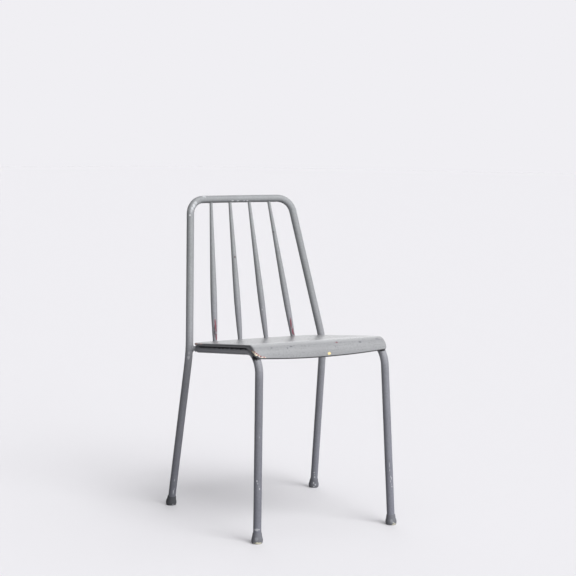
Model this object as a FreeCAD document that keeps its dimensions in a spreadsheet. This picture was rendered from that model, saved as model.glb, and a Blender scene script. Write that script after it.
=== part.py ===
import FreeCAD, Part
import math
import os
import Sketcher

# Side chair of bent steel tube with a pressed seat and a spindle back.
# Millimetres. +Z is up, the chair faces -Y, and x = 0 is its plane of symmetry.
# The origin lies on the floor, half way between the front and the rear reach of the feet.

os.makedirs("parts", exist_ok=True)
doc = FreeCAD.newDocument("side_chair")
Vec = FreeCAD.Vector
UP = Vec(0, 0, 1)

# Driving sizes
sheet = doc.addObject("Spreadsheet::Sheet", "sizes")
SIZES = [
    ("tube_diameter", 20.0, "outside diameter of all the bent tubes"),
    ("tube_wall", 1.5, "wall of the bent tubes"),
    ("rear_splay", 19.0, "rear foot further out than the knee"),
    ("rear_foot_y", 219.8, "rear foot on the floor, rearward"),
    ("upright_gap", 24.8, "from the side rail's centreline out to the corner of the knee bend"),
    ("knee_y", 133.05, "corner of the knee bend, rearward"),
    ("knee_drop", 22.7, "corner of the knee bend below the seat's height"),
    ("knee_bend", 160.0, "centreline radius of the knee bend"),
    ("upright_lean", 51.1, "corner of the top bend further in than the knee"),
    ("crown_y", 232.9, "corner of the top bend, rearward"),
    ("back_rise", 374.9, "top rail's centreline above the seat's height"),
    ("crown_bend", 45.0, "centreline radius of the top corner bends"),
    ("crown_sweep", 18.4, "rearward reach of the top rail's bow beyond its corners"),
    ("crown_straight", 43.65, "from the corner of the top bend to the start of the top rail's bow"),
    ("front_splay", 15.3, "front foot further out than the side rail"),
    ("front_foot_y", -240.7, "front foot on the floor"),
    ("rail_inset", 11.7, "side rail's centreline inside the seat's side"),
    ("rail_corner_y", -225.4, "corner of the front leg's bend"),
    ("rail_nose_y", 126.8, "centre of the side rail's closed round end"),
    ("leg_bend", 55.0, "centreline radius of the front leg's bend"),
    ("seat_height", 450.0, "seat's top surface at the reference line"),
    ("seat_reference_y", 129.8, "reference line of the seat's slope"),
    ("seat_slope", 0.102, "rise of the seat for each millimetre toward the front"),
    ("seat_half_width", 189.7, "half the width over the seat's side flanges"),
    ("seat_front_y", -224.7, "outer face of the seat's apron"),
    ("seat_sheet", 1.5, "thickness of the seat's sheet"),
    ("front_fold", 34.0, "outer radius of the seat's front bend"),
    ("side_fold", 5.0, "outer radius of the fold to the side flanges"),
    ("bend_fold", 6.0, "outer radius of the side fold where the front bend starts"),
    ("corner_fold", 7.5, "outer radius of the apron's corners"),
    ("fold_run", 25.0, "length over which the side fold widens before the front bend"),
    ("flange_depth", 7.5, "depth of the side flanges"),
    ("flange_end_y", 115.0, "rear end of the side flanges"),
    ("flange_slant", 6.0, "slant of the cut at the flange's rear end"),
    ("rear_edge_y", 176.8, "seat's rear edge in the middle"),
    ("rear_edge_bow", 1008.0, "radius of the seat's rear edge"),
    ("rear_corner", 48.0, "radius of the seat's rear corners"),
    ("apron_depth", 42.26, "apron's lower edge in the middle below the corner of top and apron"),
    ("apron_bow", 2240.0, "radius of the apron's lower edge"),
    ("apron_corner", 12.0, "radius of the apron's lower corners"),
    ("apron_lip", 8.0, "depth of the return lip under the apron"),
    ("lip_end_gap", 29.7, "from the seat's side to the end of the return lip"),
    ("lip_round", 1.3, "outer radius of the return lip's edge"),
    ("arch_gap", 8.0, "from the return lip's end inward to the start of the corner's arch"),
    ("flange_lead", 9.0, "flange's front end ahead of the start of the leg's bend"),
    ("corner_hug", 2.0, "how far the corner's lower edge lies inside the leg's bend, seen from the side"),
    ("tube_room", 0.15, "gap between the leg's bend and the inside of the seat's corner"),
    ("bar_width", 25.0, "width of the flat cross bars"),
    ("bar_thickness", 4.0, "thickness of the flat cross bars"),
    ("bar_clearance", 0.2, "gap between a cross bar and the side rail's crown"),
    ("bar_end_gap", 8.2, "from the seat's side to the cross bars' ends"),
    ("rear_bar_y", 162.0, "rear cross bar's middle line at x = 0"),
    ("rear_bar_bow", 820.0, "radius of the rear cross bar and of the row of spindles"),
    ("rear_bar_bend_x", 138.0, "place where the rear cross bar turns forward"),
    ("rear_bar_end_y", 108.0, "rear cross bar's ends on the side rails"),
    ("front_bar_y", -150.0, "front cross bar's middle line"),
    ("spindle_foot_pitch", 79.0, "pitch of the spindles on the seat"),
    ("spindle_top_pitch", 58.4, "pitch of the spindles under the top rail"),
    ("spindle_foot_radius", 5.7, "spindle's radius on the seat"),
    ("spindle_belly_radius", 8.7, "spindle's greatest radius"),
    ("spindle_belly_part", 0.30, "place of the greatest radius as a part of the length"),
    ("spindle_top_radius", 4.1, "spindle's radius at its upper tip"),
    ("spindle_tip_depth", 6.0, "distance from the spindle's tip to the rail's centreline"),
    ("hole_clearance", 0.15, "gap round a tenon or a tip in its hole"),
    ("tenon_radius", 3.75, "radius of the spindle's lower tenon"),
    ("tenon_length", 7.4, "length of the lower tenon below the seat's top surface"),
    ("weld_height", 1.2, "height of the small weld rings"),
    ("weld_spread", 1.6, "width of the small weld rings"),
    ("weld_crest", 0.3, "width left at the crest of the small weld rings"),
    ("joint_overlap", 3.0, "length by which a turned foot and its tenon run into each other"),
    ("stub_radius", 6.0, "radius of the stub between rail and upright"),
    ("stub_flare", 1.8, "widening of the stub's welds"),
    ("ferrule_sink", 3.2, "rubber worn off below the floor line"),
    ("ferrule_base", 9.2, "thickness of the ferrule's base before wear"),
    ("ferrule_base_radius", 10.8, "ferrule's radius at its base"),
    ("ferrule_belly_radius", 14.3, "ferrule's greatest radius"),
    ("ferrule_belly_height", 10.6, "height of the greatest radius above the base"),
    ("ferrule_neck_radius", 12.6, "ferrule's radius where its sleeve starts above the belly"),
    ("ferrule_neck_height", 18.8, "height of the sleeve's start above the base"),
    ("ferrule_rim_radius", 11.5, "sleeve's radius under the rim"),
    ("ferrule_height", 29.2, "whole height of the ferrule before wear"),
    ("ferrule_rim_round", 1.6, "rounding of the rim"),
    ("ferrule_clearance", 0.05, "gap between tube and rubber"),
    ("washer_thickness", 1.5, "thickness of the washer in the ferrule"),
    ("washer_gap", 0.2, "gap round the washer in the ferrule"),
    ("washer_hole_radius", 4.0, "hole radius of the washer in the ferrule"),
]
for row, (alias, value, note) in enumerate(SIZES, start=1):
    sheet.set("A%d" % row, alias)
    sheet.set("B%d" % row, "%g" % value)
    sheet.set("C%d" % row, note)
    sheet.setAlias("B%d" % row, alias)
doc.recompute()

# How far a cutting solid reaches past the piece that it cuts
OVER = 20.0


def size(alias):
    """A driving size, read from the sheet."""
    return float(sheet.get(alias))


def add(kind, name, **values):
    """A document object with plain property values set."""
    item = doc.addObject(kind, name)
    for key, value in values.items():
        setattr(item, key, value)
    return item


def bind(item, **formulas):
    """Bind properties of an object to formulas over the sheet."""
    for key, formula in formulas.items():
        item.setExpression(key.replace("__", "."), formula)
    return item


def turned(direction):
    """The rotation that takes +Z to a direction."""
    return FreeCAD.Rotation(UP, direction)


def outline(name, shape):
    """A free-form wire or face that later features use."""
    item = doc.addObject("Part::Feature", name)
    item.Shape = shape
    return item


def rounded_edges(points, radii):
    """Straight runs through the points, joined by tangent arcs at the inner points."""
    edges = []
    start = points[0]
    for before, corner, after, radius in zip(points, points[1:], points[2:], radii):
        back = (before - corner).normalize()
        ahead = (after - corner).normalize()
        half = back.getAngle(ahead) / 2
        reach = radius / math.tan(half)
        middle = (back + ahead).normalize()
        enter = corner + back * reach
        leave = corner + ahead * reach
        crest = corner + middle * (radius / math.sin(half) - radius)
        edges.append(Part.makeLine(start, enter))
        edges.append(Part.Arc(enter, crest, leave).toShape())
        start = leave
    edges.append(Part.makeLine(start, points[-1]))
    return edges


def rod(name, spine, start, direction, radius_formula):
    """A round rod swept along a spine."""
    circle = bind(add("Part::Circle", name + "_circle"), Radius=radius_formula)
    circle.Placement = FreeCAD.Placement(start, turned(direction))
    links = ["Edge%d" % (k + 1) for k in range(len(spine.Shape.Edges))]
    sweep = add("Part::Sweep", name, Sections=[circle], Spine=(spine, links), Solid=True, Frenet=False)
    sweep.Transition = "Right corner"
    return sweep


def cut(name, base, *tools):
    """The base with one or more tools taken away."""
    tool = tools[0]
    if len(tools) > 1:
        tool = add("Part::MultiFuse", name + "_tools", Shapes=list(tools))
    return add("Part::Cut", name, Base=base, Tool=tool)


def fuse(name, *items):
    """Several solids made one."""
    return add("Part::MultiFuse", name, Shapes=list(items), Refine=True)


def pin(name, start, direction, length_formula, radius_formula):
    """A straight cylinder from a point along a direction."""
    item = bind(add("Part::Cylinder", name), Radius=radius_formula, Height=length_formula)
    item.Placement = FreeCAD.Placement(start, turned(direction))
    return item


def block(name, low, high):
    """An axis-parallel box between two corners."""
    item = add("Part::Box", name, Length=high.x - low.x, Width=high.y - low.y, Height=high.z - low.z)
    item.Placement.Base = low
    return item


half = size("seat_half_width")
rail_x = half - size("rail_inset")
knee_x = rail_x + size("upright_gap")
crown_x = knee_x - size("upright_lean")
knee_z = size("seat_height") - size("knee_drop")
crown_z = size("seat_height") + size("back_rise")
front_foot_x = rail_x + size("front_splay")
rear_foot_x = knee_x + size("rear_splay")
tube_radius = size("tube_diameter") / 2
OUTER = "sizes.tube_diameter / 2"
INNER = "sizes.tube_diameter / 2 - sizes.tube_wall"
slope = size("seat_slope")
seat_normal = Vec(0, slope, 1).normalize()
along_rail = Vec(0, 1, -slope).normalize()
rail_drop = size("seat_sheet") + size("bar_thickness") + size("bar_clearance") + tube_radius


def seat_top(y):
    """Height of the seat's top surface."""
    return size("seat_height") + slope * (size("seat_reference_y") - y)


def on_seat(x, y, depth=0.0):
    """A point under the seat's top surface, the depth measured square to it."""
    return Vec(x, y, seat_top(y)) - seat_normal * depth


def under_seat(x, y, depth):
    """A point at a given y, at a depth under the seat's top surface measured square to it."""
    return Vec(x, y, seat_top(y) - depth * math.hypot(1, slope))


# Feet: direction of each leg and the tube's lower end on its washer
end_lift = size("ferrule_base") - size("ferrule_sink") + size("washer_thickness")


def leg_start(foot, target):
    """Direction of a leg upward from the floor, and the tube's lower end."""
    direction = (target - foot).normalize()
    return direction, foot + direction * end_lift


knee = [Vec(s * knee_x, size("knee_y"), knee_z) for s in (-1, 1)]
crown = [Vec(s * crown_x, size("crown_y"), crown_z) for s in (-1, 1)]
apex = Vec(0, size("crown_y") + size("crown_sweep"), crown_z)
rear_foot = [Vec(s * rear_foot_x, size("rear_foot_y"), 0) for s in (-1, 1)]
rear_aim = [leg_start(foot, target) for foot, target in zip(rear_foot, knee)]

# Back hoop: rear legs, uprights and top rail in one bent tube
hoop_points = [rear_aim[0][1], knee[0], crown[0], apex, crown[1], knee[1], rear_aim[1][1]]
bow_turn = math.atan2(size("crown_sweep"), crown_x)
crown_bow = (math.hypot(crown_x, size("crown_sweep")) - size("crown_straight")) / math.tan(bow_turn)
hoop_radii = [size("knee_bend"), size("crown_bend"), crown_bow, size("crown_bend"), size("knee_bend")]
hoop_spine = outline("hoop_spine", Part.Wire(rounded_edges(hoop_points, hoop_radii)))
hoop_outside = rod("hoop_outside", hoop_spine, hoop_points[0], rear_aim[0][0], OUTER)
hoop_inside = rod("hoop_inside", hoop_spine, hoop_points[0], rear_aim[0][0], INNER)
hoop_tube = cut("hoop_tube", hoop_outside, hoop_inside)

# Front legs with side rails: one bent tube each, with a closed round end
legs = {}
front_aim = []
rail_outsides = []
rail_noses = []
tube_rooms = []
for side, sign in (("left", -1), ("right", 1)):
    foot = Vec(sign * front_foot_x, size("front_foot_y"), 0)
    corner = under_seat(sign * rail_x, size("rail_corner_y"), rail_drop)
    nose = under_seat(sign * rail_x, size("rail_nose_y"), rail_drop)
    direction, start = leg_start(foot, corner)
    front_aim.append((foot, direction, start))
    spine = outline("leg_spine_" + side, Part.Wire(rounded_edges([start, corner, nose], [size("leg_bend")])))
    solids = []
    for layer, formula in (("outside", OUTER), ("inside", INNER)):
        bent = rod("leg_%s_%s" % (layer, side), spine, start, direction, formula)
        ball = bind(add("Part::Sphere", "nose_%s_%s" % (layer, side)), Radius=formula)
        ball.Placement.Base = nose
        solids.append(fuse("leg_body_%s_%s" % (layer, side), bent, ball))
    legs[side] = cut("front_leg_" + side, *solids)
    rail_outsides.append(solids[0])
    rail_noses.append(nose)
    tube_rooms.append(rod("tube_room_" + side, spine, start, direction, OUTER + " + sizes.tube_room"))

# Seat pan: a block with the seat's outer form, less the same block one sheet further in
WIDE = half + 2 * size("tube_diameter")
REAR = size("rear_edge_y") + size("rear_corner")
DEEP = seat_top(REAR) - size("flange_depth") - 2 * size("tube_diameter")


def folded_block(name, inset):
    """The seat's form as a solid: side profile, front bend, side folds and rounded corners."""
    body = doc.addObject("PartDesign::Body", name + "_body")
    plane = [f for f in body.Origin.OriginFeatures if f.Role == "YZ_Plane"][0]
    sketch = body.newObject("Sketcher::SketchObject", name + "_profile")
    sketch.AttachmentSupport = [(plane, "")]
    sketch.MapMode = "FlatFace"
    drop = "(sizes.seat_sheet * %g * sqrt(1 + sizes.seat_slope ^ 2))" % inset
    front = "(sizes.seat_front_y + sizes.seat_sheet * %g)" % inset
    top = "(sizes.seat_height + sizes.seat_slope * (sizes.seat_reference_y - %s)) - " + drop
    y_front = size("seat_front_y") + size("seat_sheet") * inset
    fall = size("seat_sheet") * inset * math.hypot(1, slope)
    corners = [
        (y_front, seat_top(y_front) - fall, front, top % front),
        (REAR, seat_top(REAR) - fall, None, top % ("%g" % REAR)),
        (REAR, DEEP, None, None),
        (y_front, DEEP, front, None),
    ]
    for (ya, za, _, _), (yb, zb, _, _) in zip(corners, corners[1:] + corners[:1]):
        sketch.addGeometry(Part.LineSegment(Vec(ya, za, 0), Vec(yb, zb, 0)), False)
    for k in range(4):
        sketch.addConstraint(Sketcher.Constraint("Coincident", k, 2, (k + 1) % 4, 1))
    for k, (y, z, y_formula, z_formula) in enumerate(corners):
        for kind, value, formula in (("DistanceX", y, y_formula), ("DistanceY", z, z_formula)):
            number = sketch.addConstraint(Sketcher.Constraint(kind, -1, 1, k, 1, value))
            if formula:
                sketch.setExpression("Constraints[%d]" % number, formula)
    pad = body.newObject("PartDesign::Pad", name + "_pad")
    pad.Profile = sketch
    pad.Midplane = True
    pad.setExpression("Length", "2 * (sizes.seat_half_width - sizes.seat_sheet * %g)" % inset)
    body.Tip = pad
    doc.recompute()
    bend = add("Part::Fillet", name + "_bend", Base=body)
    radius = size("front_fold") - size("seat_sheet") * inset
    ridge = Vec(0, y_front, corners[0][1])
    bend.Edges = [(number_at(body.Shape, ridge), radius, radius)]
    doc.recompute()
    small = size("side_fold") - size("seat_sheet") * inset
    middle = size("bend_fold") - size("seat_sheet") * inset
    large = size("corner_fold") - size("seat_sheet") * inset
    centre = Vec(0, y_front + radius, seat_top(y_front + radius) - fall - radius * math.hypot(1, slope))
    long = 2 * (REAR - size("seat_front_y"))
    zone_turn = FreeCAD.Placement(centre, turned(seat_normal))
    run = size("fold_run")
    flat_zone = add("Part::Box", name + "_flat_zone", Length=2 * WIDE, Width=long, Height=2 * long)
    flat_zone.Placement = zone_turn * FreeCAD.Placement(Vec(-WIDE, run, -long), FreeCAD.Rotation())
    run_zone = add("Part::Box", name + "_run_zone", Length=2 * WIDE, Width=run, Height=2 * long)
    run_zone.Placement = zone_turn * FreeCAD.Placement(Vec(-WIDE, 0, -long), FreeCAD.Rotation())
    low_zone = add("Part::Box", name + "_low_zone", Length=2 * WIDE, Width=long, Height=long)
    low_zone.Placement.Base = Vec(-WIDE, centre.y - long + radius, centre.z - long)
    front_only = cut(name + "_front_only", bend, flat_zone, run_zone)
    zones = [
        (add("Part::Common", name + "_flat", Base=bend, Tool=flat_zone), small, small),
        (add("Part::Common", name + "_run", Base=bend, Tool=run_zone), middle, small),
        (cut(name + "_ridge", front_only, low_zone), large, middle),
        (add("Part::Common", name + "_low", Base=front_only, Tool=low_zone), large, large),
    ]
    doc.recompute()
    parts = []
    for zone, low_radius, high_radius in zones:
        rounded = add("Part::Fillet", zone.Name + "_folded", Base=zone)
        rounded.Edges = outer_edges(zone.Shape, y_front, fall, centre, radius, low_radius, high_radius)
        parts.append(rounded)
    whole = fuse(name, *parts)
    doc.recompute()
    return whole


def outer_edges(shape, y_front, fall, centre, radius, low_radius, high_radius):
    """The side edges on top, bend and apron, with a radius at each end."""
    picked = []
    for number, edge in enumerate(shape.Edges, start=1):
        first = edge.valueAt(edge.FirstParameter)
        last = edge.valueAt(edge.LastParameter)
        middle = edge.valueAt((edge.FirstParameter + edge.LastParameter) / 2)
        if abs(first.x - last.x) > 1e-4:
            continue
        on_top = abs(middle.z - seat_top(middle.y) + fall) < 1e-3
        on_front = abs(middle.y - y_front) < 1e-3
        spread = math.hypot(middle.y - centre.y, middle.z - centre.z)
        on_bend = abs(spread - radius) < 1e-3 and middle.y < centre.y + slope * radius and middle.z > centre.z
        if on_top or on_front or on_bend:
            from_front = first.y < last.y - 1e-6 or first.z < last.z - 1e-6 and not on_top
            pair = (low_radius, high_radius) if from_front else (high_radius, low_radius)
            picked.append((number,) + pair)
    return picked


def number_at(shape, point):
    """The number of the edge that passes through a point."""
    probe = Part.Vertex(point)
    gaps = [edge.distToShape(probe)[0] for edge in shape.Edges]
    return gaps.index(min(gaps)) + 1


pan_outside = folded_block("pan_outside", 0)
pan_inside = folded_block("pan_inside", 1)

# Under the flanges: everything below a line parallel to the top, and below the leg's bend
bend_corner = under_seat(0, size("rail_corner_y"), rail_drop)
leg_direction = front_aim[1][1]
turn = leg_direction.getAngle(along_rail)
bend_reach = size("leg_bend") * math.tan(turn / 2)
bend_enter = bend_corner + along_rail * bend_reach
bend_centre = bend_enter - seat_normal * size("leg_bend")
flange_start = bend_enter.y - size("flange_lead")
flange_end = size("flange_end_y")
slant_end = flange_end + size("flange_slant")
flange_face = Part.Face(Part.makePolygon([
    Vec(-WIDE, flange_start, DEEP - OVER),
    Vec(-WIDE, flange_start, seat_top(flange_start) - size("flange_depth")),
    Vec(-WIDE, flange_end, seat_top(flange_end) - size("flange_depth")),
    Vec(-WIDE, slant_end, seat_top(slant_end) - size("side_fold")),
    Vec(-WIDE, REAR + OVER, seat_top(REAR + OVER) - size("side_fold")),
    Vec(-WIDE, REAR + OVER, DEEP - OVER),
    Vec(-WIDE, flange_start, DEEP - OVER),
]))
flange_outline = outline("flange_outline", flange_face)
flange_cut = add("Part::Extrusion", "flange_cut", Base=flange_outline, DirMode="Custom", Dir=Vec(1, 0, 0))
flange_cut.Solid = True
flange_cut.LengthFwd = 2 * WIDE
arches = []
arch_x = half - size("lip_end_gap") - size("arch_gap")
for side, sign in (("left", -1), ("right", 1)):
    arch = bind(
        add("Part::Cylinder", "arch_" + side, Height=WIDE - arch_x),
        Radius="sizes.leg_bend + sizes.tube_diameter / 2 - sizes.corner_hug",
    )
    arch_start = Vec(sign * arch_x, bend_centre.y, bend_centre.z)
    arch.Placement = FreeCAD.Placement(arch_start, turned(Vec(sign, 0, 0)))
    arches.append(arch)

# Apron: bowed lower edge with rounded lower corners
apron_low = seat_top(size("seat_front_y")) - size("apron_depth")
bow = size("apron_bow")


def apron_edge(x):
    """Height of the apron's lower edge."""
    return apron_low + bow - math.sqrt(bow * bow - x * x)


r = size("apron_corner")
side_z = apron_edge(half) + r
bow_x = half - r
bow_z = apron_edge(bow_x)
crest_x = half - r * (1 - math.sqrt(0.5))
crest_z = side_z - r * math.sqrt(0.5)
lower_edges = [
    Part.Arc(Vec(-bow_x, 0, bow_z), Vec(0, 0, apron_low), Vec(bow_x, 0, bow_z)),
    Part.Arc(Vec(bow_x, 0, bow_z), Vec(crest_x, 0, crest_z), Vec(half, 0, side_z)),
    Part.LineSegment(Vec(half, 0, side_z), Vec(WIDE, 0, side_z)),
    Part.LineSegment(Vec(WIDE, 0, side_z), Vec(WIDE, 0, DEEP - OVER)),
    Part.LineSegment(Vec(WIDE, 0, DEEP - OVER), Vec(-WIDE, 0, DEEP - OVER)),
    Part.LineSegment(Vec(-WIDE, 0, DEEP - OVER), Vec(-WIDE, 0, side_z)),
    Part.LineSegment(Vec(-WIDE, 0, side_z), Vec(-half, 0, side_z)),
    Part.Arc(Vec(-half, 0, side_z), Vec(-crest_x, 0, crest_z), Vec(-bow_x, 0, bow_z)),
]
apron_face = Part.Face(Part.Wire([edge.toShape() for edge in lower_edges]))
apron_face.translate(Vec(0, size("seat_front_y") - OVER, 0))
apron_outline = outline("apron_outline", apron_face)
apron_cut = add("Part::Extrusion", "apron_cut", Base=apron_outline, DirMode="Custom", Dir=Vec(0, 1, 0))
apron_cut.Solid = True
apron_cut.LengthFwd = flange_start - size("seat_front_y") + OVER

# Rear: bowed edge with large corners
edge_radius = size("rear_edge_bow")
corner_radius = size("rear_corner")
edge_centre = size("rear_edge_y") - edge_radius
corner_x = half - corner_radius
corner_y = edge_centre + math.sqrt((edge_radius - corner_radius) ** 2 - corner_x ** 2)
touch = Vec(corner_x, corner_y - edge_centre, 0).normalize()
mid_way = (touch + Vec(1, 0, 0)).normalize()


def rear_point(sign, centre_x, centre_y, direction, radius):
    """A point of the rear edge, mirrored by the sign."""
    return Vec(sign * (centre_x + direction.x * radius), centre_y + direction.y * radius, DEEP)


rear_edges = []
for sign in (1, -1):
    a = rear_point(sign, corner_x, corner_y, Vec(1, 0, 0), corner_radius)
    b = rear_point(sign, corner_x, corner_y, mid_way, corner_radius)
    c = rear_point(sign, corner_x, corner_y, touch, corner_radius)
    rear_edges.append((a, b, c))
(ra, rb, rc), (la, lb, lc) = rear_edges
rear_middle = Vec(0, size("rear_edge_y"), DEEP)
rear_wire = Part.Wire([
    Part.Arc(ra, rb, rc).toShape(),
    Part.Arc(rc, rear_middle, lc).toShape(),
    Part.Arc(lc, lb, la).toShape(),
    Part.makeLine(la, Vec(-WIDE, corner_y, DEEP)),
    Part.makeLine(Vec(-WIDE, corner_y, DEEP), Vec(-WIDE, REAR + OVER, DEEP)),
    Part.makeLine(Vec(-WIDE, REAR + OVER, DEEP), Vec(WIDE, REAR + OVER, DEEP)),
    Part.makeLine(Vec(WIDE, REAR + OVER, DEEP), Vec(WIDE, corner_y, DEEP)),
    Part.makeLine(Vec(WIDE, corner_y, DEEP), ra),
])
rear_outline = outline("rear_outline", Part.Face(rear_wire))
rear_cut = add("Part::Extrusion", "rear_cut", Base=rear_outline, DirMode="Custom", Dir=Vec(0, 0, 1))
rear_cut.Solid = True
rear_cut.LengthFwd = 2 * (seat_top(0) - DEEP)

# Return lip under the apron, its outer edge rounded
w = half - size("lip_end_gap")
t = size("seat_sheet")
lip_face = Part.Face(Part.Wire([
    Part.Arc(Vec(-w, 0, apron_edge(w)), Vec(0, 0, apron_low), Vec(w, 0, apron_edge(w))).toShape(),
    Part.makeLine(Vec(w, 0, apron_edge(w)), Vec(w, 0, apron_edge(w) + t)),
    Part.Arc(Vec(w, 0, apron_edge(w) + t), Vec(0, 0, apron_low + t), Vec(-w, 0, apron_edge(w) + t)).toShape(),
    Part.makeLine(Vec(-w, 0, apron_edge(w) + t), Vec(-w, 0, apron_edge(w))),
]))
lip_face.translate(Vec(0, size("seat_front_y"), 0))
lip_outline = outline("lip_outline", lip_face)
lip = add("Part::Extrusion", "lip", Base=lip_outline, DirMode="Custom", Dir=Vec(0, 1, 0), Solid=True)
bind(lip, LengthFwd="sizes.apron_lip")
doc.recompute()
lip_edge = number_at(lip.Shape, Vec(0, size("seat_front_y"), apron_low))
lip_rounded = add("Part::Fillet", "lip_rounded", Base=lip)
lip_rounded.Edges = [(lip_edge, size("lip_round"), size("lip_round"))]
room_face = Part.Face(Part.Wire([
    Part.Arc(Vec(w, 0, apron_edge(w) + t), Vec(0, 0, apron_low + t), Vec(-w, 0, apron_edge(w) + t)).toShape(),
    Part.makeLine(Vec(-w, 0, apron_edge(w) + t), Vec(-w, 0, DEEP)),
    Part.makeLine(Vec(-w, 0, DEEP), Vec(w, 0, DEEP)),
    Part.makeLine(Vec(w, 0, DEEP), Vec(w, 0, apron_edge(w) + t)),
]))
room_face.translate(Vec(0, size("seat_front_y") - t, 0))
room_outline = outline("lip_room_outline", room_face)
lip_room = add("Part::Extrusion", "lip_room", Base=room_outline, DirMode="Custom", Solid=True)
lip_room.Dir = Vec(0, 1, 0)
bind(lip_room, LengthFwd="3 * sizes.seat_sheet")
trims = [flange_cut, apron_cut, rear_cut, lip_room] + arches + tube_rooms
pan_sheet = cut("pan_sheet", pan_outside, pan_inside, *trims)
pan_lipped = fuse("pan_lipped", pan_sheet, lip_rounded)
doc.recompute()

# Spindles: foot on the seat, tip in the top rail
row_centre = size("rear_bar_y") - size("rear_bar_bow")
rail_middle_y = apex.y - crown_bow * (1 / math.cos(bow_turn) - 1)


def row_y(x):
    """The row of spindles on the seat."""
    return row_centre + math.sqrt(size("rear_bar_bow") ** 2 - x * x)


def rail_y(x):
    """The top rail's centreline within its bow."""
    return rail_middle_y - crown_bow + math.sqrt(crown_bow ** 2 - x * x)


SPINDLE_STEPS = (-1.5, -0.5, 0.5, 1.5)
spindle_ends = []
for step in SPINDLE_STEPS:
    foot_x = step * size("spindle_foot_pitch")
    top_x = step * size("spindle_top_pitch")
    foot = on_seat(foot_x, row_y(foot_x))
    top = Vec(top_x, rail_y(top_x), crown_z)
    spindle_ends.append((foot, top, (top - foot).normalize()))


def turned_body(name, elements, placement):
    """A body of revolution from a closed profile of lines and arcs in radius and height.

    Each element is (kind, start, end, extra): points are pairs of (value, formula), and
    an arc has the pair (centre height, radius) as its extra, bulging away from the axis.
    """
    body = doc.addObject("PartDesign::Body", name)
    plane = [f for f in body.Origin.OriginFeatures if f.Role == "XZ_Plane"][0]
    sketch = body.newObject("Sketcher::SketchObject", name + "_profile")
    sketch.AttachmentSupport = [(plane, "")]
    sketch.MapMode = "FlatFace"
    for kind, start, end, extra in elements:
        a = Vec(start[0][0], start[1][0], 0)
        b = Vec(end[0][0], end[1][0], 0)
        if kind == "line":
            sketch.addGeometry(Part.LineSegment(a, b), False)
            continue
        radius = extra[0]
        chord = b - a
        across = Vec(chord.y, -chord.x, 0).normalize()
        sagitta = radius - math.sqrt(radius ** 2 - (chord.Length / 2) ** 2)
        middle = (a + b) * 0.5 + across * sagitta
        sketch.addGeometry(Part.Arc(a, middle, b), False)
    count = len(elements)
    for k, (kind, start, end, extra) in enumerate(elements):
        first = 1
        if kind == "arc" and (sketch.Geometry[k].StartPoint - Vec(start[0][0], start[1][0], 0)).Length > 1e-6:
            first = 2
        for axis, (value, formula) in zip(("DistanceX", "DistanceY"), start):
            number = sketch.addConstraint(Sketcher.Constraint(axis, -1, 1, k, first, value))
            if formula:
                sketch.setExpression("Constraints[%d]" % number, formula)
        following = (k + 1) % count
        last = 3 - first
        begin = elements[following][1]
        next_first = 1
        if elements[following][0] == "arc":
            corner_point = Vec(begin[0][0], begin[1][0], 0)
            if (sketch.Geometry[following].StartPoint - corner_point).Length > 1e-6:
                next_first = 2
        sketch.addConstraint(Sketcher.Constraint("Coincident", k, last, following, next_first))
        if kind == "arc":
            number = sketch.addConstraint(Sketcher.Constraint("Radius", k, extra[0]))
            if extra[1]:
                sketch.setExpression("Constraints[%d]" % number, extra[1])
    turn_feature = body.newObject("PartDesign::Revolution", name + "_turned")
    turn_feature.Profile = sketch
    turn_feature.ReferenceAxis = (sketch, ["V_Axis"])
    turn_feature.Angle = 360
    body.Tip = turn_feature
    body.Placement = placement
    return body


def spindle_profile(length):
    """Foot, belly and straight taper of a spindle, the taper tangent to the belly's arc."""
    foot_r = size("spindle_foot_radius")
    belly_r = size("spindle_belly_radius")
    top_r = size("spindle_top_radius")
    belly = size("spindle_belly_part") * length
    rise = belly_r - foot_r
    radius = (belly * belly + rise * rise) / (2 * rise)
    run = length - belly
    on_axis = belly_r - radius
    # tangent point of the line from the tip to the belly's circle
    gap = math.hypot(run, top_r - on_axis)
    facing = math.atan2(top_r - on_axis, run)
    angle = facing + math.acos(radius / gap)
    joint_h = belly + radius * math.cos(angle)
    joint_r = on_axis + radius * math.sin(angle)
    tail = size("joint_overlap")
    tail_r = on_axis + math.sqrt(radius ** 2 - (belly + tail) ** 2)
    tail_end = ((tail_r, None), (-tail, None))
    joint = ((joint_r, None), (joint_h, None))
    tip = ((top_r, "sizes.spindle_top_radius"), (length, None))
    axis_low = ((0, None), (-tail, None))
    axis_high = ((0, None), (length, None))
    pieces = [
        ("line", axis_low, tail_end, None),
        ("arc", tail_end, joint, (radius, None)),
        ("line", joint, tip, None),
        ("line", tip, axis_high, None),
        ("line", axis_high, axis_low, None),
    ]
    return pieces


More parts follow.
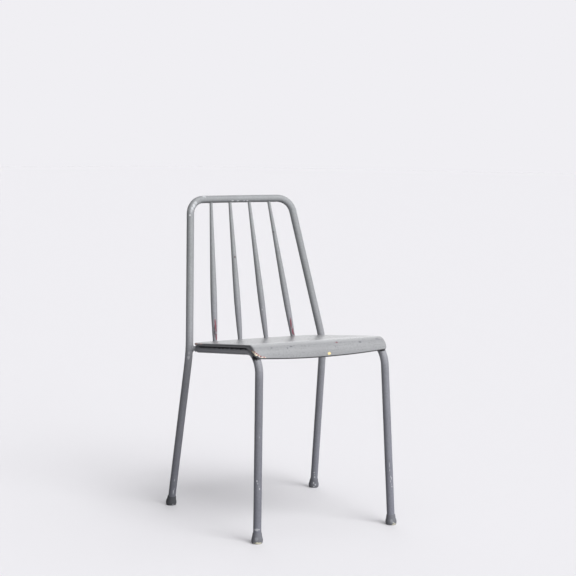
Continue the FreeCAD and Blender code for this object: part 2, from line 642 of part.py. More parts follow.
seat_turn = turned(seat_normal)
TENON_RUN = "sizes.tenon_length + sizes.joint_overlap"
spindles = []
rail_holes = []
tenon_holes = []
foot_rings = []
tenon_dabs = []
for number, (foot, top, direction) in enumerate(spindle_ends, start=1):
    tag = "_%d" % number
    length = (top - foot).Length - size("spindle_tip_depth")
    upright = FreeCAD.Placement(foot, turned(direction))
    turned_foot = turned_body("spindle_turned" + tag, spindle_profile(length), upright)
    under = block("under_seat" + tag, Vec(-OVER, -OVER, -OVER), Vec(OVER, OVER, 0))
    under.Placement = FreeCAD.Placement(foot, seat_turn) * under.Placement
    shouldered = cut("spindle_shouldered" + tag, turned_foot, under)
    tenon_start = foot - direction * size("tenon_length")
    tenon = pin("tenon" + tag, tenon_start, direction, TENON_RUN, "sizes.tenon_radius")
    spindle = fuse("spindle" + tag, shouldered, tenon)
    spindles.append(spindle)
    tenon_holes.append(pin(
        "tenon_hole" + tag,
        tenon_start - direction * size("joint_overlap"),
        direction,
        "sizes.tenon_length + 3 * sizes.joint_overlap",
        "sizes.tenon_radius + sizes.hole_clearance",
    ))
    rail_holes.append(pin(
        "rail_hole" + tag,
        top - direction * (tube_radius + size("spindle_tip_depth")),
        direction,
        "sizes.tube_diameter / 2 + sizes.spindle_tip_depth / 2",
        "sizes.spindle_top_radius + 2 * sizes.hole_clearance",
    ))
    ring = add("Part::Cone", "foot_ring" + tag)
    bind(
        ring,
        Radius1="sizes.spindle_foot_radius + sizes.weld_spread",
        Radius2="sizes.spindle_foot_radius + sizes.weld_crest",
        Height="sizes.weld_height",
    )
    ring.Placement = FreeCAD.Placement(foot, seat_turn)
    foot_rings.append(ring)
    depth = size("seat_sheet") + size("bar_thickness")
    tilt = direction.dot(seat_normal)
    below = foot - direction * (depth / tilt)
    dab = add("Part::Cone", "tenon_dab" + tag)
    bind(
        dab,
        Radius1="sizes.tenon_radius + 2 * sizes.weld_spread",
        Radius2="sizes.tenon_radius + 2 * sizes.weld_crest",
        Height="sizes.weld_height",
    )
    dab.Placement = FreeCAD.Placement(below, turned(seat_normal * -1))
    tenon_dabs.append(dab)

hoop = cut("hoop_drilled", hoop_tube, *rail_holes)

# Cross bars under the sheet: the rear one bowed with the row of spindles, the front one straight
bar_half = half - size("bar_end_gap")
bar_offset = size("bar_width") / 2


def bar_plate(name, face, y):
    """A flat bar, drawn in plan and laid face to face under the sheet."""
    plan = outline(name + "_plan", face)
    plan.Placement = FreeCAD.Placement(on_seat(0, y, size("seat_sheet")), seat_turn)
    bar = add("Part::Extrusion", name + "_bar", Base=plan, DirMode="Custom", Dir=seat_normal * -1, Solid=True)
    return bind(bar, LengthFwd="sizes.bar_thickness")


arcs = []
bend_x = size("rear_bar_bend_x")
bend_lean = math.asin(bend_x / size("rear_bar_bow"))
for offset in (bar_offset, -bar_offset):
    bend = size("rear_bar_bow") + offset
    end_x = bend * math.sin(bend_lean)
    end_y = bend * math.cos(bend_lean) - size("rear_bar_bow")
    arcs.append((Vec(-end_x, end_y, 0), Vec(0, offset, 0), Vec(end_x, end_y, 0)))
rear_face = Part.Face(Part.Wire([
    Part.Arc(*arcs[0]).toShape(),
    Part.makeLine(arcs[0][2], arcs[1][2]),
    Part.Arc(*reversed(arcs[1])).toShape(),
    Part.makeLine(arcs[1][0], arcs[0][0]),
]))
rear_pieces = [bar_plate("rear_cross", rear_face, size("rear_bar_y"))]
for sign in (-1, 1):
    joint = Vec(sign * bend_x, row_y(bend_x), 0)
    arm_end = Vec(sign * rail_x, size("rear_bar_end_y"), 0)
    reach = arm_end - joint
    tag = "left" if sign < 0 else "right"
    reach.y *= math.hypot(1, slope)
    lie = FreeCAD.Placement(on_seat(joint.x, joint.y, size("seat_sheet") + size("bar_thickness")), seat_turn)
    yaw = FreeCAD.Placement(Vec(), FreeCAD.Rotation(UP, math.degrees(math.atan2(reach.y, reach.x))))
    arm = add("Part::Box", "rear_arm_" + tag, Length=reach.Length)
    bind(arm, Width="sizes.bar_width", Height="sizes.bar_thickness")
    arm.Placement = lie * yaw * FreeCAD.Placement(Vec(0, -bar_offset, 0), FreeCAD.Rotation())
    turn_disc = add("Part::Cylinder", "rear_turn_" + tag)
    bind(turn_disc, Radius="sizes.bar_width / 2", Height="sizes.bar_thickness")
    turn_disc.Placement = lie
    rear_pieces += [arm, turn_disc]
between = block("between_flanges", Vec(-bar_half, 0, DEEP), Vec(bar_half, REAR, seat_top(0)))
bind(between, Length="2 * (sizes.seat_half_width - sizes.bar_end_gap)")
rear_bar = add("Part::Common", "rear_bar_trimmed", Base=fuse("rear_bar_whole", *rear_pieces), Tool=between)
front_face = Part.Face(Part.makePolygon([
    Vec(-bar_half, -bar_offset, 0),
    Vec(bar_half, -bar_offset, 0),
    Vec(bar_half, bar_offset, 0),
    Vec(-bar_half, bar_offset, 0),
    Vec(-bar_half, -bar_offset, 0),
]))
front_bar = bar_plate("front_cross", front_face, size("front_bar_y"))
rear_bar_drilled = cut("rear_bar_drilled", rear_bar, *tenon_holes)
pan = cut("pan_drilled", pan_lipped, *tenon_holes)
foot_welds = cut("foot_welds", fuse("foot_rings", *foot_rings), *spindles)
tenon_welds = cut("tenon_welds_trimmed", fuse("tenon_dabs", *tenon_dabs), rear_bar_drilled, *spindles)

# Stubs between the rails' round ends and the uprights, coped on both tubes
stubs = {}
for side, sign, nose, rail in zip(("left", "right"), (-1, 1), rail_noses, rail_outsides):
    doc.recompute()
    near = hoop_spine.Shape.distToShape(Part.Vertex(nose))[1][0][0]
    run = near - nose
    direction = Vec(run).normalize()
    neck = bind(add("Part::Cylinder", "stub_neck_" + side, Height=run.Length), Radius="sizes.stub_radius")
    neck.Placement = FreeCAD.Placement(nose, turned(direction))
    flares = []
    for end, start, way in (("rail", nose, direction), ("hoop", near, direction * -1)):
        flare = add("Part::Cone", "stub_flare_%s_%s" % (end, side))
        bind(
            flare,
            Radius1="sizes.stub_radius + sizes.stub_flare",
            Radius2="sizes.stub_radius",
            Height="sizes.stub_flare + sizes.weld_height",
        )
        flare.Placement = FreeCAD.Placement(start + way * (tube_radius - size("weld_height")), turned(way))
        flares.append(flare)
    whole = fuse("stub_whole_" + side, neck, *flares)
    stubs[side] = cut("stub_" + side, whole, rail, hoop_outside)

# Ferrules: rubber caps with a washer inside, worn flat on the floor


def ferrule_profile():
    """Cup profile: base, bulging belly, tapered sleeve, rim, bore and the base's inner face."""
    base_r = size("ferrule_base_radius")
    belly_r = size("ferrule_belly_radius")
    belly_h = size("ferrule_belly_height")
    neck_r = size("ferrule_neck_radius")
    neck_h = size("ferrule_neck_height")
    rim_r = size("ferrule_rim_radius")
    height = size("ferrule_height")
    rim_h = height - size("ferrule_rim_round") * 2
    bore = tube_radius + size("ferrule_clearance")
    floor_h = size("ferrule_base")
    low = (belly_h ** 2 + (belly_r - base_r) ** 2) / (2 * (belly_r - base_r))
    high = ((neck_h - belly_h) ** 2 + (belly_r - neck_r) ** 2) / (2 * (belly_r - neck_r))
    flare_formula = "(sizes.ferrule_belly_radius - sizes.ferrule_base_radius)"
    low_formula = "(sizes.ferrule_belly_height ^ 2 + %s ^ 2) / (2 * %s)" % (flare_formula, flare_formula)
    run_formula = "(sizes.ferrule_neck_height - sizes.ferrule_belly_height)"
    drop_formula = "(sizes.ferrule_belly_radius - sizes.ferrule_neck_radius)"
    high_formula = "(%s ^ 2 + %s ^ 2) / (2 * %s)" % (run_formula, drop_formula, drop_formula)
    rim_formula = "sizes.ferrule_height - 2 * sizes.ferrule_rim_round"
    bore_formula = "sizes.tube_diameter / 2 + sizes.ferrule_clearance"
    centre = (0, None)
    ground = (0, None)
    base = (base_r, "sizes.ferrule_base_radius")
    belly = ((belly_r, "sizes.ferrule_belly_radius"), (belly_h, "sizes.ferrule_belly_height"))
    neck = ((neck_r, "sizes.ferrule_neck_radius"), (neck_h, "sizes.ferrule_neck_height"))
    rim = ((rim_r, "sizes.ferrule_rim_radius"), (rim_h, rim_formula))
    top = (height, "sizes.ferrule_height")
    lip_point = (((rim_r + bore) / 2, "(sizes.ferrule_rim_radius + %s) / 2" % bore_formula), top)
    mouth = ((bore, bore_formula), top)
    seat_edge = ((bore, bore_formula), (floor_h, "sizes.ferrule_base"))
    seat_mid = (centre, (floor_h, "sizes.ferrule_base"))
    return [
        ("line", (centre, ground), (base, ground), None),
        ("arc", (base, ground), belly, (low, low_formula)),
        ("arc", belly, neck, (high, high_formula)),
        ("line", neck, rim, None),
        ("line", rim, lip_point, None),
        ("line", lip_point, mouth, None),
        ("line", mouth, seat_edge, None),
        ("line", seat_edge, seat_mid, None),
        ("line", seat_mid, (centre, ground), None),
    ]


THICK = "sizes.washer_thickness"
WASHER_RADIUS = "sizes.tube_diameter / 2 - sizes.washer_gap"
ferrules = {}
washers = []
feet = [
    ("front_left", front_aim[0][0], front_aim[0][1]),
    ("front_right", front_aim[1][0], front_aim[1][1]),
    ("rear_left", rear_foot[0], rear_aim[0][0]),
    ("rear_right", rear_foot[1], rear_aim[1][0]),
]
for place, foot, direction in feet:
    base_point = foot - direction * size("ferrule_sink")
    cup = turned_body("cup_" + place, ferrule_profile(), FreeCAD.Placement(base_point, turned(direction)))
    ground = block("ground_" + place, foot - Vec(OVER, OVER, OVER), foot + Vec(OVER, OVER, 0))
    ferrules[place] = cut("ferrule_cut_" + place, cup, ground)
    washer_base = base_point + direction * size("ferrule_base")
    disc = pin("washer_disc_" + place, washer_base, direction, THICK, WASHER_RADIUS)
    hole = pin("washer_hole_" + place, washer_base, direction, THICK, "sizes.washer_hole_radius")
    washers.append(cut("washer_" + place, disc, hole))
washer_set = add("Part::Compound", "washer_set", Links=washers)
doc.recompute()

# Finished pieces, one file each
NODES = [
    ("back_hoop", hoop),
    ("front_leg_left", legs["left"]),
    ("front_leg_right", legs["right"]),
    ("seat_pan", pan),
    ("rear_cross_bar", rear_bar_drilled),
    ("front_cross_bar", front_bar),
    ("rail_stub_left", stubs["left"]),
    ("rail_stub_right", stubs["right"]),
    ("spindle_foot_welds", foot_welds),
    ("tenon_welds", tenon_welds),
    ("ferrule_washers", washer_set),
]
NODES += [("spindle_%d" % k, item) for k, item in enumerate(spindles, start=1)]
NODES += [("ferrule_" + place, item) for place, item in ferrules.items()]

for item in doc.Objects:
    if "Invalid" in item.State or "Error" in item.State:
        raise RuntimeError("feature not built: " + item.Name)
for label, item in NODES:
    shape = item.Shape
    if shape.isNull() or not shape.isValid():
        raise RuntimeError("shape not valid: " + label)
    item.Label = label
    shape.exportStep("parts/%s.step" % label)
    box = shape.optimalBoundingBox(True, False)
    print(
        "%-20s solids %d volume %9.1f  x %7.1f %7.1f  y %7.1f %7.1f  z %7.1f %7.1f"
        % (label, len(shape.Solids), shape.Volume, box.XMin, box.XMax, box.YMin, box.YMax, box.ZMin, box.ZMax)
    )
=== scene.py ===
import math
import bpy
import numpy as np
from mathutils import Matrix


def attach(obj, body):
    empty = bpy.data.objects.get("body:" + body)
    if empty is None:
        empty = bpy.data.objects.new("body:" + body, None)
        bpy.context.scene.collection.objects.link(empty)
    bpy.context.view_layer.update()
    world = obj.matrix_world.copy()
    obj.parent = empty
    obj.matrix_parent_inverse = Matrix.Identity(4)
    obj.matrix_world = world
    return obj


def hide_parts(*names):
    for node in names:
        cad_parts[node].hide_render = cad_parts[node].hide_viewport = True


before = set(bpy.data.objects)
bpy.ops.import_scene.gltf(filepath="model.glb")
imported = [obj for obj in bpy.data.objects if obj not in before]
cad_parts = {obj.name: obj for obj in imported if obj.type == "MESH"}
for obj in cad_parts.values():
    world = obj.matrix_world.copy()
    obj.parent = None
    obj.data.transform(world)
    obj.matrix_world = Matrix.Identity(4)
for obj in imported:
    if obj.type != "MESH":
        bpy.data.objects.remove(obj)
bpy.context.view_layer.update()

# Back hoop: one steel tube of 20 mm, bent to rear legs, uprights and bowed top rail.
# Its finish is grey oil enamel brushed over older cream and oxide red coats: satin, mottled,
# nicked where it is handled, with painted highlights on the top-left bend and the top rail, and
# darker down the legs, part grime and part painted shade under the seat.


def linear(hex_colour):
    """sRGB hex to linear RGBA: the standard sRGB transfer curve applied to each channel."""
    channels = [int(hex_colour[k:k + 2], 16) / 255 for k in (0, 2, 4)]
    return tuple(c / 12.92 if c <= 0.04045 else ((c + 0.055) / 1.055) ** 2.4 for c in channels) + (1.0,)


def add_node(tree, kind, links=None, output=0, **settings):
    """Adds a node, sets or links its inputs by name or number, and gives one of its outputs."""
    node = tree.nodes.new("ShaderNode" + kind)
    for key, value in settings.items():
        setattr(node, key, value)
    for socket, source in (links or {}).items():
        if isinstance(source, bpy.types.NodeSocket):
            tree.links.new(source, node.inputs[socket])
        else:
            node.inputs[socket].default_value = source
    return node.outputs[output] if node.outputs else node


def blank_material(name):
    """A material whose node tree is still empty."""
    material = bpy.data.materials.new(name)
    material.use_nodes = True
    material.node_tree.nodes.clear()
    return material


def enamel(
    name, tones, grain, lean=(1.0, 1.0), nicks=0.0, low_nicks=0.0, chips_and_painted_light=(), edge=None, wall=None,
    mottling=0.1, gloss=0.46,
):
    """Brushed oil enamel, coat on coat.

    tones gives the coat's colour at heights in metres, grain the axis that the brush followed,
    and lean the painted shade of the legs below the seat at the far left and right. nicks and
    low_nicks make small pale chips more common, anywhere and near the floor; a negative value
    makes them rarer. The list of larger marks gives each as x, y, z, half sizes in millimetres
    and a colour: most are chips, some are painted highlights and some painted shade. edge
    describes a dark band along a cut edge and wall the colour of painted shade on walls that
    face sideways. The tone varies by mottling, and gloss is the mean roughness.
    """
    material = blank_material(name)
    tree = material.node_tree
    place = add_node(tree, "TexCoord", output="Object")
    across, lengthwise, height = add_node(tree, "SeparateXYZ", {0: place}).node.outputs

    # the coat's colour by height: lighter above, darker down the legs, part grime and part painted shade under the
    # seat
    tone = add_node(tree, "ValToRGB", {0: height})
    stops = tone.node.color_ramp.elements
    while len(stops) < len(tones):
        stops.new(0.5)
    for stop, (level, colour) in zip(stops, tones):
        stop.position = level
        stop.color = linear(colour)
    # painted shade: below the seat the tone is scaled by lean, from its left factor at the far left to its right
    # factor at the far right
    below = add_node(tree, "MapRange", {0: height, 1: 0.47, 2: 0.36})
    side = add_node(tree, "MapRange", {0: across, 1: -0.2, 2: 0.2, 3: lean[0], 4: lean[1]})
    extra = add_node(tree, "Math", {0: side, 1: 1.0}, operation="SUBTRACT")
    shade = add_node(tree, "Math", {0: below, 1: extra, 2: 1.0}, operation="MULTIPLY_ADD")

    # brush marks 0.8 mm apart and 40 mm long, mottling 5 mm across, and a drift over 80 mm
    stretch = [1200.0, 1200.0, 1200.0]
    stretch[grain] = 25.0
    brushed = add_node(tree, "Mapping", {"Vector": place, "Scale": stretch})
    marks = add_node(tree, "TexNoise", {"Vector": brushed, "Scale": 1.0, "Detail": 3.0})
    mottle = add_node(tree, "TexNoise", {"Vector": place, "Scale": 210.0, "Detail": 3.0, "Roughness": 0.65})
    drift = add_node(tree, "TexNoise", {"Vector": place, "Scale": 12.0, "Detail": 3.0, "Roughness": 0.6})
    for cloud, swing in ((marks, 0.045), (mottle, mottling), (drift, 0.06)):
        factor = add_node(tree, "MapRange", {0: cloud, 1: 0.3, 2: 0.7, 3: 1.0 - swing, 4: 1.0 + swing})
        shade = add_node(tree, "Math", {0: shade, 1: factor}, operation="MULTIPLY")
    grey = add_node(tree, "CombineColor", {0: shade, 1: shade, 2: shade})
    coat = add_node(tree, "Mix", {0: 1.0, 6: tone, 7: grey}, 2, data_type="RGBA", blend_type="MULTIPLY")

    # what lies on the coat, from the oldest to the newest: first painted shade, darker on what faces down
    normal = add_node(tree, "NewGeometry", output="Normal")
    sideways, _, upward = add_node(tree, "SeparateXYZ", {0: normal}).node.outputs
    underside_shade = add_node(tree, "MapRange", {0: upward, 1: -0.25, 2: -0.85, 3: 0.0, 4: 0.62})
    layers = [(underside_shade, "39393D")]

    # painted shade: walls that face left or right, where the sheet turns down, take the darker wall colour
    if wall:
        turned = add_node(tree, "Math", {0: sideways}, operation="ABSOLUTE")
        layers.append((add_node(tree, "MapRange", {0: turned, 1: 0.5, 2: 0.68}), wall))

    # dark pinholes 1.5 mm across, and pale nicks of 2 to 4 mm that gather in places
    pinholes = add_node(tree, "TexNoise", {"Vector": place, "Scale": 420.0, "Detail": 1.0})
    pits = add_node(tree, "MapRange", {0: pinholes, 1: 0.755, 2: 0.785})
    layers.append((pits, "3E3F45"))
    gather = add_node(tree, "TexNoise", {"Vector": place, "Scale": 9.0, "Detail": 2.0})
    near_floor = add_node(tree, "MapRange", {0: height, 1: 0.22, 2: 0.03, 3: 0.0, 4: low_nicks})
    chance = add_node(tree, "TexNoise", {"Vector": place, "Scale": 230.0, "Detail": 4.0, "Roughness": 0.7})
    chance = add_node(tree, "Math", {0: gather, 1: 0.35, 2: chance}, operation="MULTIPLY_ADD")
    chance = add_node(tree, "Math", {0: chance, 1: near_floor}, operation="ADD")
    dents = add_node(tree, "MapRange", {0: chance, 1: 0.965 - nicks, 2: 0.985 - nicks})
    layers.append((dents, "A9A9A8"))

    # larger marks, each an ellipsoid with a ragged rim: chips down to cream primer or oxide red, painted
    # highlights and painted shade
    rim_noise = add_node(tree, "TexNoise", {"Vector": place, "Scale": 330.0, "Detail": 4.0, "Roughness": 0.7})
    ragged = add_node(tree, "Math", {0: rim_noise, 1: 2.6, 2: -1.3}, operation="MULTIPLY_ADD")
    for x, y, z, sizes, colour in chips_and_painted_light:
        centre = (x / 1000, y / 1000, z / 1000)
        half_sizes = tuple(part / 1000 for part in sizes)
        offset = add_node(tree, "VectorMath", {0: place, 1: centre}, operation="SUBTRACT")
        scaled = add_node(tree, "VectorMath", {0: offset, 1: half_sizes}, operation="DIVIDE")
        reach = add_node(tree, "VectorMath", {0: scaled}, "Value", operation="LENGTH")
        rim = add_node(tree, "Math", {0: reach, 1: ragged}, operation="ADD")
        patch = add_node(tree, "MapRange", {0: rim, 1: 1.1, 2: 0.85})
        layers.append((patch, colour))
        dents = add_node(tree, "Math", {0: dents, 1: patch}, operation="MAXIMUM")

    # a dark band along a cut edge: base height, rise per square metre, width, rearmost y, all in metres
    if edge:
        base, rise, width, rearmost, colour = edge
        squared = add_node(tree, "Math", {0: across, 1: across}, operation="MULTIPLY")
        crest = add_node(tree, "Math", {0: squared, 1: rise, 2: base}, operation="MULTIPLY_ADD")
        over = add_node(tree, "Math", {0: height, 1: crest}, operation="SUBTRACT")
        low_part = add_node(tree, "MapRange", {0: over, 1: width, 2: width * 0.6})
        front_part = add_node(tree, "MapRange", {0: lengthwise, 1: rearmost + 0.002, 2: rearmost})
        layers.append((add_node(tree, "Math", {0: low_part, 1: front_part}, operation="MULTIPLY"), colour))

    for amount, colour in layers:
        coat = add_node(tree, "Mix", {0: amount, 6: coat, 7: linear(colour)}, 2, data_type="RGBA")

    # brush marks and mottling roughen the gloss; chips, the other listed marks and pinholes lie 0.2 mm deep
    uneven = add_node(tree, "Math", {0: marks, 1: mottle}, operation="ADD")
    rough = add_node(tree, "MapRange", {0: uneven, 1: 0.7, 2: 1.3, 3: gloss - 0.06, 4: gloss + 0.08})
    relief = add_node(tree, "Math", {0: marks, 1: 0.5}, operation="MULTIPLY")
    for dip in (dents, pits):
        relief = add_node(tree, "Math", {0: relief, 1: dip}, operation="SUBTRACT")
    bump = add_node(tree, "Bump", {"Height": relief, "Strength": 0.4, "Distance": 0.0002})
    links = {"Base Color": coat, "Roughness": rough, "IOR": 1.5, "Metallic": 0.0, "Normal": bump}
    shader = add_node(tree, "BsdfPrincipled", links)
    add_node(tree, "OutputMaterial", {"Surface": shader})
    return material


def dress(node_name, material):
    """Assigns a material to every slot of a carried-over piece."""
    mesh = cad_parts[node_name].data
    mesh.materials.clear()
    mesh.materials.append(material)


PALE = "C2C3C5"
CREAM = "CFC4A8"
RED = "7E3133"
hoop_tones = [
    (0.0, "686971"), (0.10, "6D6E76"), (0.34, "737479"), (0.45, "85868A"), (0.60, "858789"), (0.83, "888A8C"),
]
hoop_chips_and_highlights = [
    # painted highlight: the first ten marks are pale streaks for glints on the top-left bend and along the top
    # rail; the rest are chips
    (-162.3, 213.8, 784.3, (2.0, 3.0, 2.0), PALE),
    (-157.4, 215.4, 795.4, (3.0, 4.0, 5.0), "A2A4A7"),
    (-153.0, 217.1, 801.9, (3.5, 4.0, 6.0), "B0B2B5"),
    (-147.5, 219.5, 809.8, (4.0, 4.0, 5.5), "B4B6B9"),
    (-141.3, 222.0, 816.9, (4.5, 4.0, 4.5), "A9ABAE"),
    (-111.2, 231.8, 832.9, (5.0, 4.0, 2.5), "B4B6B9"),
    (-24.9, 235.5, 820.3, (3.2, 2.5, 1.7), "B6B8BA"),
    (-7.8, 236.1, 819.8, (3.6, 2.5, 1.7), "B6B8BA"),
    (10.6, 236.3, 819.5, (2.4, 2.0, 1.7), "B6B8BA"),
    (21.4, 236.2, 819.3, (2.8, 2.5, 2.0), "B6B8BA"),
    (-207.4, 128.5, 413.0, (3.4, 6.0, 5.0), "9C9DA0"),
    (-206.4, 127.8, 424.5, (3.0, 6.0, 4.0), "909194"),
    (-221.8, 203.0, 39.0, (1.2, 3.0, 6.0), "A4A5A9"),
    (-220.2, 201.6, 46.0, (0.9, 3.0, 2.4), "A4A5A9"),
    (-221.0, 196.0, 72.0, (1.0, 3.0, 4.0), "8E8F94"),
    (-219.4, 194.6, 60.0, (0.8, 3.0, 2.0), "8E8F94"),
    (214.1, 203.4, 45.8, (1.5, 3.0, 1.8), "B0B1B4"),
    (215.6, 204.0, 38.8, (1.2, 3.0, 1.4), "B0B1B4"),
    (216.6, 204.7, 31.7, (1.5, 3.0, 1.8), PALE),
]
hoop_enamel = enamel(
    "grey_enamel_on_hoop", hoop_tones, grain=2, lean=(0.87, 1.28), low_nicks=0.075, chips_and_painted_light=hoop_chips_and_highlights,
)
dress("back_hoop", hoop_enamel)

# Front legs with side rails: one tube each, bent over and closed by a round end.
# Same tube and the same brushed enamel as the hoop, rubbed pale above the ferrules.
leg_tones = [(0.0, "6C6D76"), (0.12, "6F7078"), (0.30, "72737A"), (0.40, "74757B"), (0.46, "8A8B90")]
# painted shade: each leg's first mark darkens it where it passes under the seat's front corner; the rest are chips
left_chips_and_shade = [
    (-184.0, -216.0, 453.0, (10.0, 12.0, 6.0), "2C2C2F"),
    (-197.7, -246.0, 35.2, (8.0, 7.0, 2.8), "A6A8AC"),
    (-189.3, -246.4, 135.4, (1.1, 3.0, 2.4), "B0B1B4"),
    (-190.6, -246.2, 141.0, (0.9, 3.0, 1.6), "9A9CA1"),
    (-194.7, -243.6, 154.8, (1.3, 3.0, 2.2), "B0B1B4"),
    (-193.4, -244.6, 149.0, (0.9, 3.0, 3.4), "9A9CA1"),
    (-187.0, -243.0, 262.0, (1.0, 3.0, 3.0), "94969B"),
]
right_chips_and_shade = [
    (175.0, -221.5, 449.4, (9.0, 6.0, 2.0), "2E2E31"),
    (184.6, -245.0, 156.0, (0.9, 4.0, 6.0), "9FA1A5"),
    (185.4, -245.0, 143.0, (0.9, 4.0, 3.4), "9FA1A5"),
    (189.8, -246.8, 121.1, (1.2, 4.0, 3.0), "B0B1B4"),
    (187.4, -246.6, 126.0, (1.0, 4.0, 3.0), "A2A4A8"),
    (186.9, -246.6, 113.2, (1.0, 4.0, 2.6), "A2A4A8"),
    (191.0, -247.6, 99.7, (1.4, 3.0, 1.8), "B0B1B4"),
    (190.2, -247.4, 106.0, (0.8, 3.0, 2.2), "9A9CA1"),
]
# painted shade: a dark band lies on each rail's outer shoulder, all along the gap below the seat's flange that
# shades it
rail_slope = 0.102
for step_y in range(-190, 121, 26):
    shoulder_z = 455.0 - rail_slope * step_y
    left_chips_and_shade.append((-184.0, step_y, shoulder_z, (6.0, 20.0, 4.4), "29292C"))
    right_chips_and_shade.append((184.0, step_y, shoulder_z, (6.0, 20.0, 4.4), "29292C"))
left_enamel = enamel(
    "grey_enamel_on_left_leg", leg_tones, grain=2, lean=(0.95, 1.0), low_nicks=0.06, chips_and_painted_light=left_chips_and_shade,
)
dress("front_leg_left", left_enamel)
right_enamel = enamel(
    "grey_enamel_on_right_leg", leg_tones, grain=2, lean=(1.0, 1.14), low_nicks=0.075, chips_and_painted_light=right_chips_and_shade,
)
dress("front_leg_right", right_enamel)

# Seat pan: 1.5 mm steel sheet folded at the front and the sides. The enamel lies thick and even
# here, with a dark band along the cut edge below, painted shade on the side walls and under the
# left corner, chips at that corner and small chips along the bend, and a painted highlight
# along the bend's crest.
seat_chips_and_shade = [
    (-138.3, -212.6, 474.5, (2.6, 2.6, 2.6), "6F7075"),
    (-95.2, -215.2, 472.1, (2.2, 2.2, 2.2), "67686E"),
    (-83.9, -212.3, 474.8, (3.2, 2.6, 2.6), "6A6B70"),
    (47.4, -209.6, 476.8, (3.4, 2.6, 2.6), "7C555C"),
    (39.9, -218.7, 467.7, (1.8, 1.8, 1.8), "76777C"),
    (114.0, -213.3, 473.8, (3.6, 3.0, 3.0), "68696E"),
    (167.7, -208.2, 477.6, (5.0, 5.0, 3.0), "828387"),
    (18.7, -224.5, 452.1, (4.3, 3.0, 3.7), "DFCA92"),
    (3.7, -52.2, 468.6, (4.0, 5.0, 2.0), "77787C"),
    (60.0, 20.0, 461.0, (3.0, 3.5, 2.0), "7F8084"),
    (-70.0, 60.0, 457.0, (3.5, 3.0, 2.0), "7F8084"),
    # painted shade: these two dark marks lie under the left corner, where the sheet's wall turns under; the cream
    # and red marks after them are chips
    (-189.7, -211.0, 463.0, (3.0, 9.0, 5.0), "343437"),
    (-183.0, -222.5, 455.5, (7.0, 3.0, 3.4), "343437"),
    (-189.7, -206.0, 470.0, (2.0, 3.4, 1.8), "8C5A55"),
    (-189.4, -212.1, 468.6, (1.6, 3.0, 2.0), CREAM),
    (-188.4, -216.2, 466.4, (1.8, 2.8, 2.4), "C8BAA8"),
    (-186.8, -219.4, 463.9, (2.0, 2.4, 2.6), "C8BAA8"),
    (-184.4, -221.8, 461.2, (2.4, 2.0, 2.2), CREAM),
    (-186.2, -216.8, 468.4, (1.8, 2.2, 1.7), RED),
    (-183.0, -220.6, 465.0, (2.3, 2.0, 1.9), RED),
    (-179.6, -222.4, 461.0, (2.2, 1.6, 1.4), "94423A"),
    (-177.0, -223.4, 458.0, (2.6, 2.0, 1.5), "CDBDAE"),
    (-173.4, -223.8, 457.4, (2.6, 1.6, 1.4), RED),
    (-169.3, -224.1, 454.8, (3.2, 2.0, 1.4), "CDBDAE"),
    (-164.6, -224.2, 455.2, (1.8, 1.6, 1.2), "B9605A"),
    (-160.5, -224.3, 453.4, (2.4, 2.0, 1.2), "D9C7B4"),
    (-189.0, 122.0, 449.6, (3.0, 12.0, 2.0), "93635B"),
    (-189.4, 92.0, 452.6, (3.0, 8.0, 1.6), "B08D80"),
]
# painted highlight: the tone is lighter along the crest of the front bend
seat_tones_with_highlight = [
    (0.0, "86878A"), (0.43, "8A8B8C"), (0.455, "898A8C"), (0.47, "8B8C8E"), (0.4775, "8D8E90"), (0.4812, "ABACAE"),
]
seat_edge = (0.4439, 0.2232, 0.0034, -0.215, "2B2A2D")
seat_enamel = enamel(
    "grey_enamel_on_sheet", seat_tones_with_highlight, grain=0, nicks=-0.05, chips_and_painted_light=seat_chips_and_shade, edge=seat_edge,
    wall="66676A", mottling=0.05, gloss=0.30,
)
dress("seat_pan", seat_enamel)

# Cross bars: flat mild steel under the sheet, in a darker and duller coat than the frame.
bar_tones = [(0.0, "4A4B50"), (0.43, "4A4B50"), (0.45, "505156"), (0.47, "505156"), (0.48, "4A4B50")]
bar_enamel = enamel("dull_enamel_on_bars", bar_tones, grain=0, nicks=0.05, gloss=0.6)
dress("rear_cross_bar", bar_enamel)
dress("front_cross_bar", bar_enamel)

# Rail necks: short welded stubs that join the side rails' round ends to the uprights, each
# with a lumpy bead of weld at both ends, all under the frame's enamel.
for name in ("rail_stub_left", "rail_stub_right"):
    dress(name, hoop_enamel)


